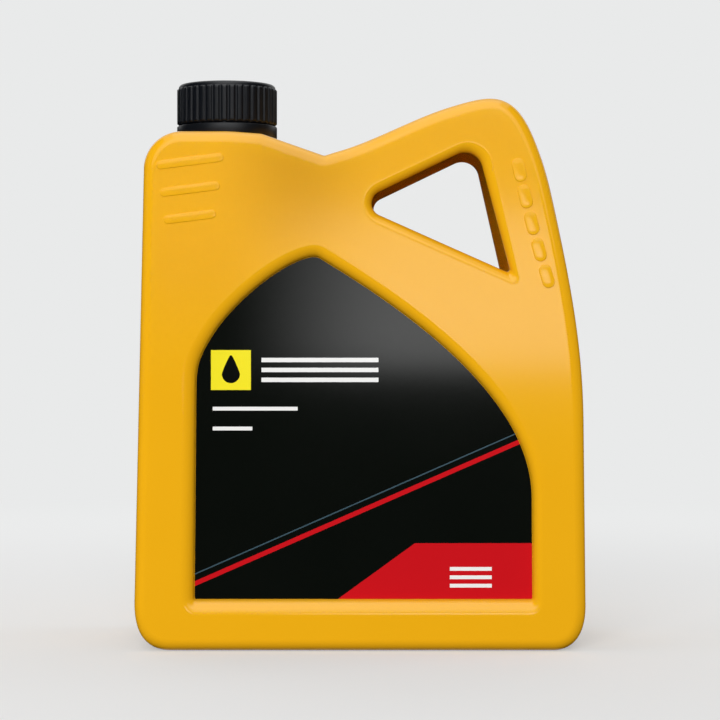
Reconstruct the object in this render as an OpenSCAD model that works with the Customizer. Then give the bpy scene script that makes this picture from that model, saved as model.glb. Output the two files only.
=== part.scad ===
// Four litre motor oil bottle: blow-moulded body with a through handle,
// ribbed screw cap with a tamper band, liner, foil seal and a front label.
// Millimetres. The origin is at the middle of the base, +Z is up, the label faces -Y.

/* [Body] */
// Width of the body across its foot
body_width = 204.8; // [195:0.1:225]
// Depth of the body from front face to back face
body_depth = 104; // [92:0.5:120]
// Height of the shoulder that carries the neck
shoulder_height = 235.2; // [228:0.1:242]
// Height of the top of the handle
handle_height = 250.2; // [242:0.1:262]
// Thickness of the blown wall
wall = 1.4; // [1:0.1:2]
// Radius of the long edges between the faces and the sides
edge_radius = 5.3; // [4:0.1:8]
// Radius of the two corners of the foot, seen from the front
foot_radius = 13; // [9:0.5:18]
// Radius of the corner beside the neck, seen from the front
shoulder_radius = 16.4; // [12:0.1:20]
// How far the left side leans in on its way up to the shoulder
left_lean = 4.9; // [0:0.1:8]
// Drop of the notch between shoulder and handle below the shoulder
notch_drop = 11; // [6:0.1:18]
// Radius in the bottom of the notch
notch_radius = 5; // [3:0.5:8]
// Depth of the hollow under the base
base_hollow = 3; // [1:0.5:5]
// Width of the standing rim around that hollow
base_rim = 12; // [9:0.5:18]

/* [Handle opening] */
// Rounding of the opening at its upper corner, where the fingers sit
grip_top_radius = 8.3; // [6:0.1:10]
// Rounding of the opening at its left corner
grip_left_radius = 5.8; // [4:0.1:7]
// Rounding of the opening at its lower right corner
grip_low_radius = 1.5; // [1:0.1:3]
// Radius of the lips where the opening meets the faces
lip_radius = 4.4; // [3:0.1:5]
// Widening of the opening from the parting plane to the front lip
front_draft = 0.8; // [0:0.1:2]
// Widening of the opening from the parting plane to the back lip
back_draft = 3.4; // [0:0.1:4]

/* [Label panel] */
// Depth of the sunk panels on the front and the back
panel_depth = 3; // [2:0.1:4]
// Height of the panel floor's lower edge above the base
panel_bottom = 23.3; // [18:0.1:30]
// Distance of the panel floor from the left side, at the foot
panel_left = 27.4; // [22:0.1:34]
// Distance of the panel floor from the right side, at the foot
panel_right = 24.1; // [20:0.1:30]
// Height of the pointed top of the panel floor
panel_peak = 179.6; // [172:0.1:182]
// Run of the panel's sloping wall on the left
panel_slope_left = 6.3; // [4:0.1:8]
// Run of the sloping wall on the right
panel_slope_right = 4.4; // [3:0.1:7]
// Run of the sloping wall along the bottom
panel_slope_bottom = 7.2; // [4:0.1:9]
// Run of the sloping wall under the pointed top
panel_slope_top = 5.3; // [4:0.1:8]

/* [Moulded grips] */
// Height of the raised grips above the face
grip_rise = 0.6; // [0.4:0.1:1]
// Thickness of the three bars beside the shoulder
bar_width = 4; // [3:0.1:5]
// Pitch of the three bars
bar_pitch = 12.8; // [10:0.1:14]
// Length of the top bar
bar_length = 29.5; // [24:0.5:32]
// How much shorter each bar is than the one above it
bar_shortening = 3.2; // [0:0.1:5]
// Width of the five thumb pads on the handle
pad_width = 5.7; // [4:0.1:7]
// Length of each thumb pad
pad_length = 10.8; // [8:0.1:12]
// Pitch of the thumb pads along the handle
pad_pitch = 12.4; // [11.5:0.1:14]

/* [Neck] */
// Distance of the neck's axis from the left edge of the foot
neck_inset = 39.5; // [34:0.1:44]
// Height of the neck's rim above the shoulder
neck_height = 23.2; // [21:0.1:27]
// Inner diameter of the neck
neck_bore = 34.4; // [30:0.1:35]
// Outer diameter of the neck between its threads
neck_diameter = 38.4; // [37.6:0.1:39]
// Height of the thread above the neck
thread_height = 1.1; // [0.8:0.1:1.3]
// Rise of the two-start thread in one turn
thread_lead = 8; // [7:0.5:9]
// Turns that each thread start covers
thread_turns = 1.1; // [0.8:0.1:1.2]
// Diameter of the bead that holds the tamper band down
bead_diameter = 42; // [41:0.1:42.4]
// Height of that bead
bead_height = 2; // [1.5:0.1:2.5]

/* [Cap] */
// Diameter of the cap over its ribs
cap_diameter = 46.4; // [45.8:0.1:50]
// Depth of the grooves between the ribs
rib_depth = 0.7; // [0.4:0.1:1]
// Number of ribs around the cap
rib_count = 40; // [24:1:60]
// Share of each pitch that the rib takes
rib_share = 0.58; // [0.4:0.02:0.7]
// Height of the cap's ribbed skirt with its top
cap_height = 19.1; // [17.5:0.1:20]
// Thickness of the cap's top
cap_top = 1.6; // [1.2:0.1:2.2]
// Thickness of the cap's skirt under its ribs
cap_skirt = 1.85; // [1.5:0.05:2.4]
// Round of the cap's upper edge
cap_bevel = 1.7; // [1:0.1:2.2]
// Height of the tamper band
band_height = 5.6; // [4.5:0.1:6.2]
// Height of the breakable bridges on top of the band
bridge_height = 0.6; // [0.4:0.1:1]
// Number of bridges
bridge_count = 12; // [6:1:16]
// Thickness of the foam liner
liner_thickness = 1.2; // [0.8:0.1:1.6]
// Thickness of the foil seal on the rim
foil_thickness = 0.15; // [0.1:0.05:0.3]
// Running clearance between turning parts
clearance = 0.35; // [0.3:0.05:0.4]
// Hairline gap between parts that lie against each other
hairline = 0.15; // [0.1:0.05:0.25]

/* [Label] */
// Thickness of the label film
label_film = 0.15; // [0.1:0.05:0.3]
// Thickness that a printed field adds to the film
label_ink = 0.05; // [0.03:0.01:0.1]
// Gap between the label and the foot of the panel's wall
label_gap = 0.4; // [0.2:0.1:1]
// Width of the red stripe
stripe_width = 2.3; // [1:0.1:4]
// Height of the red corner field
corner_height = 25.2; // [15:0.1:35]
// Side of the yellow square
square_side = 18.1; // [10:0.1:22]

/* [Hidden] */

bottle_yellow = "#edad15";
cap_black = "#1c2025";
label_black = "#0c0f0d";
label_red = "#c9161e";
label_yellow = "#f5e62d";
label_white = "#f2f2f0";
label_blue = "#3f5560";
foam_white = "#e9e7df";
foil_silver = "#c9cbcd";

over = 1;
curve_steps = 12;
corner_steps = 7;
edge_steps = 5;
inner_steps = 3;
half_depth = body_depth / 2;
left = -body_width / 2;
right = body_width / 2;
neck_x = left + neck_inset;
rim_z = shoulder_height + neck_height;
neck_radius = neck_diameter / 2;

// Plane vectors, curves and rounded corners, as [x, z] pairs seen from the front

function unit(v) = v / norm(v);
function turned(v) = [-v[1], v[0]];
function wrapped(angle) = angle - 360 * floor((angle + 180) / 360);

function arc(centre, radius, start, turn, steps) =
    [for (i = [0:steps]) let (angle = start + turn * i / steps)
        centre + radius * [cos(angle), sin(angle)]];

function bezier(p, steps) =
    [for (i = [0:steps]) let (t = i / steps, s = 1 - t)
        s * s * s * p[0] + 3 * s * s * t * p[1] + 3 * s * t * t * p[2] + t * t * t * p[3]];

function rounded(before, corner, after, radius, steps = corner_steps) =
    let (u = unit(before - corner), v = unit(after - corner), half = acos(u * v) / 2,
         centre = corner + unit(u + v) * radius / sin(half),
         from = corner + u * radius / tan(half) - centre,
         to = corner + v * radius / tan(half) - centre,
         start = atan2(from[1], from[0]))
    arc(centre, radius, start, wrapped(atan2(to[1], to[0]) - start), steps);

// A closed path from a list of paths, without the points that two of them share
function joined(paths) = [for (path = paths) each [for (i = [1:len(path) - 1]) path[i]]];

// Outward normals of a closed path that runs clockwise
function normals(path) = let (n = len(path))
    [for (i = [0:n - 1]) let (before = unit(path[i] - path[(i + n - 1) % n]),
                              after = unit(path[(i + 1) % n] - path[i]))
        unit(turned(before + after))];

function ring(path, normal, grow, y) =
    [for (i = [0:len(path) - 1]) let (p = path[i] + grow * normal[i]) [p[0], y, p[1]]];

// Outline of the body, clockwise from the left corner of the foot

foot_left = [left, 0];
foot_right = [right, 0];
top_left = [left + left_lean, shoulder_height];
bend = [neck_x + 16.6, shoulder_height - 0.6];
notch = [neck_x + 46.1, shoulder_height - notch_drop];
bend_radius = 34;
handle_start = notch + [5.3, 1.35];
handle_rise = [
    handle_start,
    notch + [22.7, 5.9],
    [right - 78.3, handle_height - 8.8],
    [right - 60.5, handle_height - 3.8]
];
crown = [
    handle_rise[3],
    [right - 43.9, handle_height + 1.3],
    [right - 32.8, handle_height + 4.4],
    [right - 23.6, handle_height - 18.3]
];
knuckle = [
    crown[3],
    [right - 20.1, handle_height - 27.3],
    [right - 17.4, handle_height - 36.5],
    [right - 15.4, handle_height - 45.5]
];
right_side = [
    knuckle[3],
    [right - 7, handle_height - 82.2],
    [right - 0.4, handle_height - 120.2],
    [right - 1, handle_height - 154.2]
];

outline = joined([
    rounded(foot_right, foot_left, top_left, foot_radius),
    concat([top_left], rounded(foot_left, top_left, bend, shoulder_radius, curve_steps)),
    concat([bend], rounded(top_left, bend, notch, bend_radius, 4)),
    concat([notch], rounded(bend, notch, handle_rise[1], notch_radius, 4)),
    concat([notch], bezier(handle_rise, curve_steps)),
    bezier(crown, 16),
    bezier(knuckle, 4),
    bezier(right_side, curve_steps),
    concat([foot_right], rounded(right_side[3], foot_right, foot_left, foot_radius))
]);
outline_normals = normals(outline);
body_hub = [0, 104];

// Outline of the panel floor, clockwise from its lower left corner

panel_foot_left = [left + panel_left, panel_bottom];
panel_foot_right = [right - panel_right, panel_bottom];
panel_corner = 1;
panel_peak_x = neck_x + 42.2;
panel_left_curve = [
    [left + panel_left + 0.9, panel_peak - 55],
    [left + panel_left + 0.9, panel_peak - 42.6],
    [panel_peak_x - 32, panel_peak - 12],
    [panel_peak_x - 4.8, panel_peak - 2]
];
panel_right_curve = [
    [panel_peak_x + 2.7, panel_peak - 2.5],
    [panel_peak_x + 44, panel_peak - 26.6],
    [right - panel_right - 0.4, panel_peak - 66.6],
    [right - panel_right - 0.4, panel_peak - 110.6]
];
panel = joined([
    concat([panel_foot_left], rounded(panel_foot_right, panel_foot_left, panel_left_curve[0], panel_corner, 3)),
    concat([panel_foot_left], bezier(panel_left_curve, curve_steps)),
    bezier([panel_left_curve[3], [panel_peak_x - 2, panel_peak - 1], [panel_peak_x, panel_peak - 0.9],
            panel_right_curve[0]], 5),
    bezier(panel_right_curve, 16),
    concat([panel_foot_right], rounded(panel_right_curve[3], panel_foot_right, panel_foot_left, panel_corner, 3))
]);
panel_normals = normals(panel);
panel_hub = [0, 90];

// Run of the panel's sloping wall in the direction of a normal
function slope_run(n) =
    pow(min(n[0], 0), 2) * panel_slope_left + pow(max(n[0], 0), 2) * panel_slope_right
    + pow(min(n[1], 0), 2) * panel_slope_bottom + pow(max(n[1], 0), 2) * panel_slope_top;

function panel_ring(grow, slope, y) =
    [for (i = [0:len(panel) - 1])
        let (n = panel_normals[i], p = panel[i] + (grow + slope * slope_run(n)) * n) [p[0], y, p[1]]];

// Corners of the handle opening in the parting plane, clockwise from the left

grip_left = [right - 103.7, handle_height - 48];
grip_top = [right - 48.9, handle_height - 21.7];
grip_low = [right - 36.1, handle_height - 78.1];
opening = concat(
    rounded(grip_low, grip_left, grip_top, grip_left_radius, 8),
    rounded(grip_left, grip_top, grip_low, grip_top_radius, 8),
    rounded(grip_top, grip_low, grip_left, grip_low_radius, 6));
opening_normals = normals(opening);
opening_hub = (grip_left + grip_top + grip_low) / 3;

// A closed skin through rings of equal length, each end closed by a fan around a hub.
// The rings run clockwise when seen from the first one.
module loft(rings, hub) {
    n = len(rings[0]);
    last = len(rings) - 1;
    sides = [for (k = [0:last - 1], i = [0:n - 1]) let (j = (i + 1) % n)
        each [[k * n + i, (k + 1) * n + j, k * n + j], [k * n + i, (k + 1) * n + i, (k + 1) * n + j]]];
    ends = [for (i = [0:n - 1]) let (j = (i + 1) % n)
        each [[(last + 1) * n, i, j], [(last + 1) * n + 1, last * n + j, last * n + i]]];
    points = concat([for (r = rings) each r], [hub[0], hub[1]]);
    polyhedron(points, concat(sides, ends));
}

function hubs(hub, front, back) = [[hub[0], front, hub[1]], [hub[0], back, hub[1]]];

// The body without its openings. thin moves every surface inwards.
module blank(thin) {
    radius = edge_radius - thin;
    steps = thin > 0 ? inner_steps : edge_steps;
    front = [for (k = [0:steps]) let (a = 90 * k / steps)
        ring(outline, outline_normals, -edge_radius + radius * sin(a),
             -half_depth + edge_radius - radius * cos(a))];
    back = [for (k = [steps:-1:0]) [for (p = front[k]) [p[0], -p[1], p[2]]]];
    loft(concat(front, back), hubs(body_hub, thin - half_depth, half_depth - thin));
}

// The handle opening with its rounded lips. thick moves every surface into the wall.
module opening_cutter(thick) {
    radius = lip_radius - thick;
    steps = thick > 0 ? inner_steps : edge_steps;
    front = [for (k = [0:steps]) let (a = 90 * k / steps)
        ring(opening, opening_normals, front_draft + lip_radius - radius * sin(a),
             -half_depth + lip_radius - radius * cos(a))];
    back = [for (k = [steps:-1:0]) let (a = 90 * k / steps)
        ring(opening, opening_normals, back_draft + lip_radius - radius * sin(a),
             half_depth - lip_radius + radius * cos(a))];
    front_end = ring(opening, opening_normals, front_draft + lip_radius, -half_depth - over);
    back_end = ring(opening, opening_normals, back_draft + lip_radius, half_depth + over);
    loft(concat([front_end], front, [ring(opening, opening_normals, thick, 0)], back, [back_end]),
         hubs(opening_hub, -half_depth - over, half_depth + over));
}

// One sunk panel, from outside the face down to its floor
module panel_cutter(thick) {
    floor_y = -half_depth + panel_depth + thick;
    rings = [
        panel_ring(thick, 1, -half_depth - over),
        panel_ring(thick, 1, -half_depth + thick),
        panel_ring(thick, 0, floor_y)
    ];
    loft(rings, hubs(panel_hub, -half_depth - over, floor_y));
}

module both_panels(thick) {
    panel_cutter(thick);
    mirror([0, 1, 0]) panel_cutter(thick);
}

// The hollow under the base, inside its standing rim
module base_cutter(thick) {
    reach_x = right - foot_radius - base_rim + thick;
    reach_y = half_depth - base_rim + thick;
    taper = base_hollow * 1.5;
    corner = 10;
    function rim_path(inset) = let (x = reach_x - inset, y = reach_y - inset,
        corners = [[-x, -y], [-x, y], [x, y], [x, -y]])
        [for (i = [0:3]) each rounded(corners[(i + 3) % 4], corners[i], corners[(i + 1) % 4], corner, 5)];
    function rim_ring(inset, z) = [for (p = rim_path(inset)) [p[0], p[1], z]];
    top = base_hollow + thick;
    loft([rim_ring(taper, top), rim_ring(0, 0), rim_ring(0, -over)],
         [[0, 0, top], [0, 0, -over]]);
}

// A thread ridge: trapezoid sections along a helix, fading in and out.
// side is 1 for a ridge on the outside of a wall, -1 for one on the inside.
module thread_ridge(root_radius, side, root_width, crest_width, steps_per_turn) {
    steps = round(steps_per_turn * thread_turns);
    fade = steps_per_turn / 10;
    sink = 0.4;
    function section(i) = let (
        angle = 360 * i / steps_per_turn,
        share = min(1, max(0.05, i / fade), max(0.05, (steps - i) / fade)),
        z = thread_lead * i / steps_per_turn,
        inner = root_radius - side * sink,
        outer = root_radius + side * thread_height * share)
        [for (p = [[inner, -root_width / 2], [outer, -crest_width / 2],
                   [outer, crest_width / 2], [inner, root_width / 2]])
            [p[0] * cos(angle), p[0] * sin(angle), z + p[1]]];
    points = [for (i = [0:steps]) each section(i)];
    walls = [for (i = [0:steps - 1], c = [0:3]) let (d = (c + 1) % 4, a = 4 * i, b = 4 * i + 4)
        each [[a + c, a + d, b + d], [a + c, b + d, b + c]]];
    last = 4 * steps;
    ends = [[3, 2, 1], [3, 1, 0], [last, last + 1, last + 2], [last, last + 2, last + 3]];
    faces = concat(walls, ends);
    polyhedron(points, side > 0 ? faces : [for (f = faces) [f[2], f[1], f[0]]]);
}

// Heights of the neck finish, all from the shoulder up

band_z = shoulder_height + clearance + 0.5;
bridge_z = band_z + band_height;
cap_z = rim_z + foil_thickness + liner_thickness + cap_top - cap_height;
cap_inner = neck_radius + thread_height + clearance;
cap_groove = cap_inner + cap_skirt;
cap_outer = cap_diameter / 2;
bead_top = cap_z - bridge_height - hairline;
bead_z = bead_top - bead_height;
thread_width = 2.1;
thread_crest = 1.1;
cap_thread_z = cap_z + thread_width / 2 + 0.1;
neck_thread_z = cap_thread_z + thread_lead / 4 - clearance;

module neck_outside() {
    lip = 0.8;
    flare = 1.6;
    rotate_extrude($fn = 72) polygon([
        [0, shoulder_height - over * 2],
        [neck_radius + flare, shoulder_height - over * 2],
        [neck_radius + flare, shoulder_height - 0.6],
        [neck_radius, shoulder_height + flare - 0.6],
        [neck_radius, bead_z],
        [bead_diameter / 2, bead_z + 0.2],
        [bead_diameter / 2, bead_z + bead_height / 2],
        [neck_radius, bead_top],
        [neck_radius, rim_z - lip],
        [neck_radius - lip, rim_z],
        [0, rim_z]
    ]);
    for (start = [0, 180])
        translate([0, 0, neck_thread_z]) rotate([0, 0, start])
            thread_ridge(neck_radius, 1, thread_width, thread_crest, 36);
}

// A raised grip: a stadium lying on the face, its rim drawn in at the top
module grip_bar(width, length) {
    span = length / 2 - width / 2;
    bed = 0.6;
    hull() for (end = [-span, span])
        translate([end, 0, 0]) rotate([90, 0, 0])
            cylinder(h = grip_rise, r1 = width / 2, r2 = width / 2 - 0.3, $fn = 20);
    hull() for (end = [-span, span])
        translate([end, bed, 0]) rotate([90, 0, 0]) cylinder(h = bed, r = width / 2, $fn = 20);
}

bar_tilt = 7.2;
bar_first = [neck_x - 12.4, shoulder_height - 13.6];
pad_first = [right - 30.6, handle_height - 32.9];
pad_step_x = [0, 2.8, 5.8, 9.1, 12.6];
pad_tilt = 12.6;

module front_grips() {
    for (i = [0:2])
        translate([bar_first[0], -half_depth, bar_first[1] - i * bar_pitch])
            rotate([0, -bar_tilt, 0]) grip_bar(bar_width, bar_length - i * bar_shortening);
    for (i = [0:4])
        translate([pad_first[0] + pad_step_x[i], -half_depth, pad_first[1] - i * pad_pitch * 0.97])
            rotate([0, 90 + pad_tilt + i, 0]) grip_bar(pad_width, pad_length);
}

module bottle() {
    color(bottle_yellow) {
        difference() {
            union() {
                difference() {
                    blank(0);
                    both_panels(0);
                    opening_cutter(0);
                    base_cutter(0);
                }
                translate([neck_x, 0, 0]) neck_outside();
            }
            difference() {
                blank(wall);
                both_panels(wall);
                opening_cutter(wall);
                base_cutter(wall);
            }
            translate([neck_x, 0, shoulder_height - 10])
                cylinder(h = neck_height + 10 + over, d = neck_bore, $fn = 72);
        }
        front_grips();
        mirror([0, 1, 0]) front_grips();
    }
}

// Outline of the ribbed skirt: straight-sided ribs with grooves between them
function rib_outline() =
    let (pitch = 360 / rib_count, rib = pitch * rib_share, side = pitch * 0.1,
         groove = cap_outer - rib_depth)
    [for (i = [0:rib_count - 1]) let (a = i * pitch)
        each [
            cap_outer * [cos(a - rib / 2), sin(a - rib / 2)],
            cap_outer * [cos(a), sin(a)],
            cap_outer * [cos(a + rib / 2), sin(a + rib / 2)],
            groove * [cos(a + rib / 2 + side), sin(a + rib / 2 + side)],
            groove * [cos(a + pitch - rib / 2 - side), sin(a + pitch - rib / 2 - side)]
        ]];

module screw_cap() {
    color(cap_black) translate([neck_x, 0, cap_z]) {
        difference() {
            intersection() {
                linear_extrude(cap_height) polygon(rib_outline());
                rotate_extrude($fn = 96) polygon([
                    [0, -over],
                    [cap_outer + over, -over],
                    [cap_outer + over, cap_height - cap_bevel],
                    [cap_outer, cap_height - cap_bevel],
                    [cap_outer - cap_bevel * 0.3, cap_height - cap_bevel * 0.3],
                    [cap_outer - cap_bevel, cap_height],
                    [0, cap_height]
                ]);
            }
            translate([0, 0, -over])
                cylinder(h = cap_height - cap_top + over, r = cap_inner, $fn = 96);
        }
        for (start = [0, 180])
            translate([0, 0, cap_thread_z - cap_z]) rotate([0, 0, start])
                thread_ridge(cap_inner, -1, thread_width - 0.4, thread_crest - 0.2, 24);
    }
}

module tamper_band() {
    lip_height = 1.4;
    lip_z = bead_z - hairline - lip_height - band_z;
    inner = bead_diameter / 2 + clearance;
    color(cap_black) translate([neck_x, 0, band_z]) {
        rotate_extrude($fn = 96) polygon([
            [inner, 0],
            [cap_outer - 0.3, 0],
            [cap_outer, 0.3],
            [cap_outer, band_height],
            [inner, band_height],
            [inner, lip_z + lip_height],
            [neck_radius + clearance, lip_z + lip_height],
            [neck_radius + clearance, lip_z + lip_height * 0.6],
            [inner, lip_z - lip_height * 0.2]
        ]);
        for (i = [0:bridge_count - 1])
            rotate([0, 0, 360 * i / bridge_count])
                translate([inner + 0.3, -0.6, band_height - 0.3])
                    cube([cap_outer - inner - 0.6, 1.2, bridge_height - hairline + 0.3]);
    }
}

module cap_liner() {
    color(foam_white) translate([neck_x, 0, rim_z + foil_thickness])
        cylinder(h = liner_thickness, r = cap_inner - thread_height - clearance / 2, $fn = 96);
}

module foil_seal() {
    color(foil_silver) translate([neck_x, 0, rim_z])
        cylinder(h = foil_thickness, r = neck_radius - 0.4, $fn = 96);
}

// Printed fields, in the plane of the label
stripe_left = [left + panel_left - 6, panel_bottom + 6.4];
stripe_right = [right - panel_right + 6, panel_bottom + 77];
square_corner = [left + panel_left + 7.7, panel_bottom + 94.6];
corner_left = [right - panel_right - 88.2, panel_bottom];
corner_top_left = [right - panel_right - 53.2, panel_bottom + corner_height];

module film(thickness) {
    rotate([90, 0, 0]) linear_extrude(thickness)
        polygon([for (i = [0:len(panel) - 1]) panel[i] - label_gap * panel_normals[i]]);
}

module printed(paint) {
    color(paint) rotate([90, 0, 0]) linear_extrude(label_film + label_ink)
        intersection() {
            polygon([for (i = [0:len(panel) - 1]) panel[i] - label_gap * panel_normals[i]]);
            children();
        }
}

module stripe(width, rise) {
    polygon([stripe_left + [0, rise], stripe_left + [0, rise + width],
             stripe_right + [0, rise + width], stripe_right + [0, rise]]);
}

module front_label() {
    translate([0, -half_depth + panel_depth, 0]) {
        color(label_black) film(label_film);
        printed(label_red) stripe(stripe_width, 0);
        printed(label_blue) stripe(0.6, 5.2);
        printed(label_red) polygon([corner_left, corner_top_left,
            [right, panel_bottom + corner_height], [right, panel_bottom]]);
        printed(label_yellow) translate(square_corner) square(square_side);
        printed(label_white) translate(square_corner + [square_side + 5, 3.6]) square([53, 11]);
        printed(label_white) translate(square_corner + [0.7, -10.4]) square([39, 4]);
        printed(label_white) translate(square_corner + [0.7, -19.6]) square([18, 4]);
    }
}

bottle();
screw_cap();
tamper_band();
cap_liner();
foil_seal();
front_label();
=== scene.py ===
"""Motor oil bottle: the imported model, dressed with smooth moulded surfaces and finishes for its render.

Shapes are worked out in millimetres, in the model's own frame: +Z up, the label towards -Y, the origin at
the middle of the base. The meshes are written in metres.
"""

import logging
from dataclasses import dataclass, field
from enum import Enum, IntEnum
from typing import Optional, Sequence

import bmesh
import bpy
import numpy as np
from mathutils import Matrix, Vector
from mathutils.geometry import delaunay_2d_cdt


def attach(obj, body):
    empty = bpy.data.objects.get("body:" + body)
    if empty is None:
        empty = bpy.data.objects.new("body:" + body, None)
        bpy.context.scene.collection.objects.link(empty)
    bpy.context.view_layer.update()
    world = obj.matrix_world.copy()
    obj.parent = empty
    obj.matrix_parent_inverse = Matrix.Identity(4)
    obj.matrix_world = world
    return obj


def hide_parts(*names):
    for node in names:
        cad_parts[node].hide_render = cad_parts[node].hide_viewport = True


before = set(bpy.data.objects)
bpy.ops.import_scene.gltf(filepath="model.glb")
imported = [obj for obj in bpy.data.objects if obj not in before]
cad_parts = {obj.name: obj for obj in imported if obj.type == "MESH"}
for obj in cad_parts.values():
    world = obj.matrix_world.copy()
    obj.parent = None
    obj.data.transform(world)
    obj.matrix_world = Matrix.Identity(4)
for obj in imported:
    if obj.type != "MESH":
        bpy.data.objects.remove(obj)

MM = 0.001
# Thread of the neck and the cap: climb in one turn, length of each start in turns.
THREAD_LEAD = 8.0
THREAD_TURNS = 1.1
# Height of the neck's rim over the bead that holds the tamper band.
BEAD_DROP = 18.9
log = logging.getLogger("oil_bottle")

Array = np.ndarray


class Turn(Enum):
    """Which way a thread or a rib faces from its wall."""

    OUTWARD = 1
    INWARD = -1


class Ink(IntEnum):
    """Inks of the label, each by the number of its material slot."""

    BLACK = 0
    RED = 1
    YELLOW = 2
    WHITE = 3
    BLUE = 4


def unit(vectors: Array) -> Array:
    """Vectors scaled to a length of one.

    Args:
        vectors: one vector a row.

    Returns:
        The same directions, each of length one.
    """
    return vectors / np.linalg.norm(vectors, axis=-1, keepdims=True)


def smooth(t: Array) -> Array:
    """Smoothstep: three t squared less two t cubed, between 0 and 1.

    Args:
        t: values, cut to the range 0 to 1.

    Returns:
        The eased values.
    """
    t = np.clip(t, 0.0, 1.0)
    return t * t * (3.0 - 2.0 * t)


def bezier(points: Sequence[Sequence[float]], steps: int) -> Array:
    """Cubic curve: the four control points weighted by the terms of (s + t) cubed, with s = 1 - t.

    Args:
        points: four control points.
        steps: number of pieces the curve is cut into.

    Returns:
        steps + 1 points along the curve.
    """
    p = np.array(points, dtype=float)
    t = np.linspace(0.0, 1.0, steps + 1)[:, None]
    s = 1.0 - t
    return s**3 * p[0] + 3 * s**2 * t * p[1] + 3 * s * t**2 * p[2] + t**3 * p[3]


def rounded(before: Array, corner: Array, after: Array, radius: float, steps: int) -> Array:
    """Arc that rounds a corner: its centre lies on the bisector, radius / sin(half angle) away.

    Args:
        before: a point on the line that comes in.
        corner: the sharp corner.
        after: a point on the line that goes out.
        radius: radius of the arc.
        steps: number of pieces the arc is cut into.

    Returns:
        steps + 1 points from the first tangent point to the second.
    """
    u = unit(np.asarray(before, float) - corner)
    v = unit(np.asarray(after, float) - corner)
    half = np.arccos(np.clip(u @ v, -1, 1)) / 2
    centre = corner + unit(u + v) * radius / np.sin(half)
    first = corner + u * radius / np.tan(half) - centre
    last = corner + v * radius / np.tan(half) - centre
    start = np.arctan2(first[1], first[0])
    sweep = np.arctan2(last[1], last[0]) - start
    sweep = (sweep + np.pi) % (2 * np.pi) - np.pi
    angle = start + sweep * np.linspace(0.0, 1.0, steps + 1)
    return centre + radius * np.stack([np.cos(angle), np.sin(angle)], axis=1)


def closed(parts: Sequence[Array], spacing: float) -> Array:
    """One closed path from its arcs and curves, with long straight stretches cut into equal pieces.

    Each gap is divided into its length over the spacing, rounded up, and points are laid evenly along it.

    Args:
        parts: the arcs and curves in order, each as points.
        spacing: longest piece that is left in a straight stretch.

    Returns:
        The points of the path, the last one next to the first.
    """
    path = np.concatenate(parts)
    keep = np.linalg.norm(path - np.roll(path, 1, axis=0), axis=1) > 1e-4
    path = path[keep]
    gap = np.roll(path, -1, axis=0) - path
    count = np.maximum(1, np.ceil(np.linalg.norm(gap, axis=1) / spacing).astype(int))
    index = np.repeat(np.arange(len(path)), count)
    start = np.concatenate([[0], np.cumsum(count)[:-1]])
    share = (np.arange(count.sum()) - start[index]) / count[index]
    return path[index] + share[:, None] * gap[index]


def normals(path: Array) -> Array:
    """Outward normals of a closed path that runs clockwise: the mean edge direction, turned a quarter left.

    Args:
        path: points of the path.

    Returns:
        One normal a point.
    """
    before = unit(path - np.roll(path, 1, axis=0))
    after = unit(np.roll(path, -1, axis=0) - path)
    mean = unit(before + after)
    return np.stack([-mean[:, 1], mean[:, 0]], axis=1)


def inside(points: Array, loop: Array) -> Array:
    """Even-odd test: a point is inside if a ray from it crosses the loop an odd number of times.

    Args:
        points: points to test.
        loop: closed path.

    Returns:
        One truth value a point.
    """
    a, b = loop, np.roll(loop, -1, axis=0)
    x, z = points[:, :1], points[:, 1:]
    spans = (a[:, 1] > z) != (b[:, 1] > z)
    rise = np.where(b[:, 1] == a[:, 1], 1e-12, b[:, 1] - a[:, 1])
    cross = (b[:, 0] - a[:, 0]) * (z - a[:, 1]) / rise + a[:, 0]
    return (spans & (x < cross)).sum(axis=1) % 2 == 1


def triangulated(loops: Sequence[Array], inner: Optional[Array] = None) -> tuple[Array, Array, Array]:
    """Delaunay triangles between loops, whose edges they keep, inside the first loop.

    A triangle whose height, its doubled area over its longest side, is next to nothing is left out.

    Args:
        loops: closed paths as x, z, the outer one first.
        inner: extra points inside the region.

    Returns:
        Points, triangles as indices, and the triangles' centres.
    """
    edges, start = [], 0
    for loop in loops:
        i = np.arange(len(loop))
        edges.extend(np.stack([start + i, start + (i + 1) % len(loop)], axis=1).tolist())
        start += len(loop)
    plane = np.concatenate(loops if inner is None else [*loops, inner])
    made = delaunay_2d_cdt([Vector(p) for p in plane.tolist()], edges, [], 0, 1e-6)
    points = np.array([v[:] for v in made[0]])
    triangles = np.array([f[:] for f in made[2]])
    a, b, c = (points[triangles[:, i]] for i in range(3))
    double_area = np.abs((b - a)[:, 0] * (c - a)[:, 1] - (b - a)[:, 1] * (c - a)[:, 0])
    longest = np.max([np.linalg.norm(side, axis=1) for side in (b - a, c - b, a - c)], axis=0)
    centre = (a + b + c) / 3
    keep = inside(centre, loops[0]) & (double_area > 1e-4 * longest)
    return points, triangles[keep], centre[keep]


def upright(plane: Array, y: float) -> Array:
    """Puts plane points into space at one depth.

    Args:
        plane: points as x, z.
        y: their depth.

    Returns:
        The same points as x, y, z.
    """
    return np.stack([plane[:, 0], np.full(len(plane), y), plane[:, 1]], axis=1)


def section_rows(path: Array, normal: Array, grow: Array, y: Array) -> Array:
    """Rows of a skin around an outline: each row is the outline moved along its normals, at one depth.

    Args:
        path: outline as x, z.
        normal: its outward normals.
        grow: how far each row lies outside the outline.
        y: depth of each row.

    Returns:
        Grid of points, one row for each depth.
    """
    plane = path[None] + grow[:, None, None] * normal[None]
    depth = np.broadcast_to(y[:, None], plane.shape[:2])
    return np.stack([plane[..., 0], depth, plane[..., 1]], axis=-1)


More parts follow.
